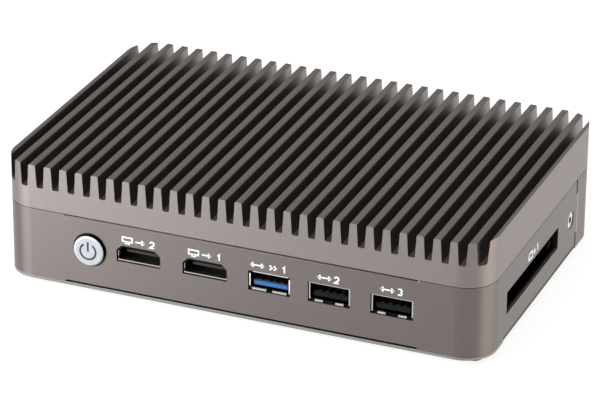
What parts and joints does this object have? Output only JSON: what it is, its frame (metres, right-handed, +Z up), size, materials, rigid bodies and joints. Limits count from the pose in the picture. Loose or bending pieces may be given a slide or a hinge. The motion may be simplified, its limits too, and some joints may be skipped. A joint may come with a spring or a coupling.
{
  "type": "fanless industrial pc",
  "caption": "Compact fanless computer: a finned metal heatsink lid on a wrap-round case, with a power button and sockets in the front, a card slot in the side and sockets behind.",
  "frame": {"origin": "middle of the bottom of the object's box, on the surface that its feet stand on", "axes": "+Z up, -Y towards the front wall with the button and sockets, +X towards the side with the card slot"},
  "size_m": [0.158, 0.1094, 0.0404],
  "materials": {
    "lid_metal": "fine bead-blasted and anodised dark warm grey, satin",
    "case_metal": "fine-textured anodised dark warm grey, satin",
    "base_metal": "grey powder coat on steel sheet, satin",
    "zinc_steel": "zinc-plated steel, satin",
    "screw_steel": "dark zinc-plated steel, satin",
    "button_cap": "pale cool grey moulded cap, light satin",
    "button_ring": "dark moulded plastic, satin",
    "shell_steel": "nickel-plated folded sheet, bright satin",
    "contact_gold": "gold-plated spring bronze, bright",
    "black_plastic": "black moulded plastic, satin",
    "blue_plastic": "blue moulded plastic, satin",
    "board_green": "green solder mask over glass-fibre board, semi-gloss",
    "chip_black": "black moulded chip package, matt",
    "pad_grey": "soft grey silicone heat pad, matt",
    "rubber_black": "black rubber, matt",
    "light_window": "clear tinted light window, glossy",
    "cell_steel": "nickel-plated steel can, bright satin",
    "can_metal": "bright aluminium can, satin"
  },
  "bodies": {
    "root": {"base_plate": "base_metal", "board_chips": "chip_black", "board_screws": "zinc_steel", "bracket_nuts": "zinc_steel", "button_guide": "button_ring", "capacitors": "can_metal", "card_contacts": "contact_gold", "card_socket": "black_plastic", "case_screws": "screw_steel", "cell_holder": "black_plastic", "coin_cell": "cell_steel", "data_contacts_1": "contact_gold", "data_contacts_2": "contact_gold", "data_contacts_3": "contact_gold", "data_insert_1": "blue_plastic", "data_insert_2": "black_plastic", "data_insert_3": "black_plastic", "data_shell_1": "shell_steel", "data_shell_2": "shell_steel", "data_shell_3": "shell_steel", "front_frame": "case_metal", "heatsink_lid": "lid_metal", "inlet_body": "black_plastic", "inlet_nut": "zinc_steel", "inlet_pin": "shell_steel", "main_board": "board_green", "memory_module": "board_green", "memory_socket": "black_plastic", "network_contacts_1": "contact_gold", "network_contacts_2": "contact_gold", "network_housing_1": "black_plastic", "network_housing_2": "black_plastic", "network_lights": "light_window", "network_shield_1": "shell_steel", "network_shield_2": "shell_steel", "power_coils": "chip_black", "processor": "chip_black", "rear_panel": "case_metal", "rubber_feet": "rubber_black", "serial_body": "black_plastic", "serial_jack_nuts": "zinc_steel", "serial_pins": "contact_gold", "serial_shell": "shell_steel", "side_screws": "zinc_steel", "storage_module": "board_green", "storage_screw": "zinc_steel", "storage_socket": "black_plastic", "storage_standoff": "zinc_steel", "switch_body": "black_plastic", "thermal_pad": "pad_grey", "video_insert_1": "black_plastic", "video_insert_2": "black_plastic", "video_shell_1": "shell_steel", "video_shell_2": "shell_steel"},
    "button": {"power_button": "button_cap", "switch_plunger": "black_plastic"}
  },
  "joints": [
    {"name": "button_press", "type": "slide", "parent": "root", "child": "button", "axis": [0, 1, 0], "range_m": [0, 0.001], "stiffness_N_per_m": 1000, "springref_m": -0.0005}
  ]
}
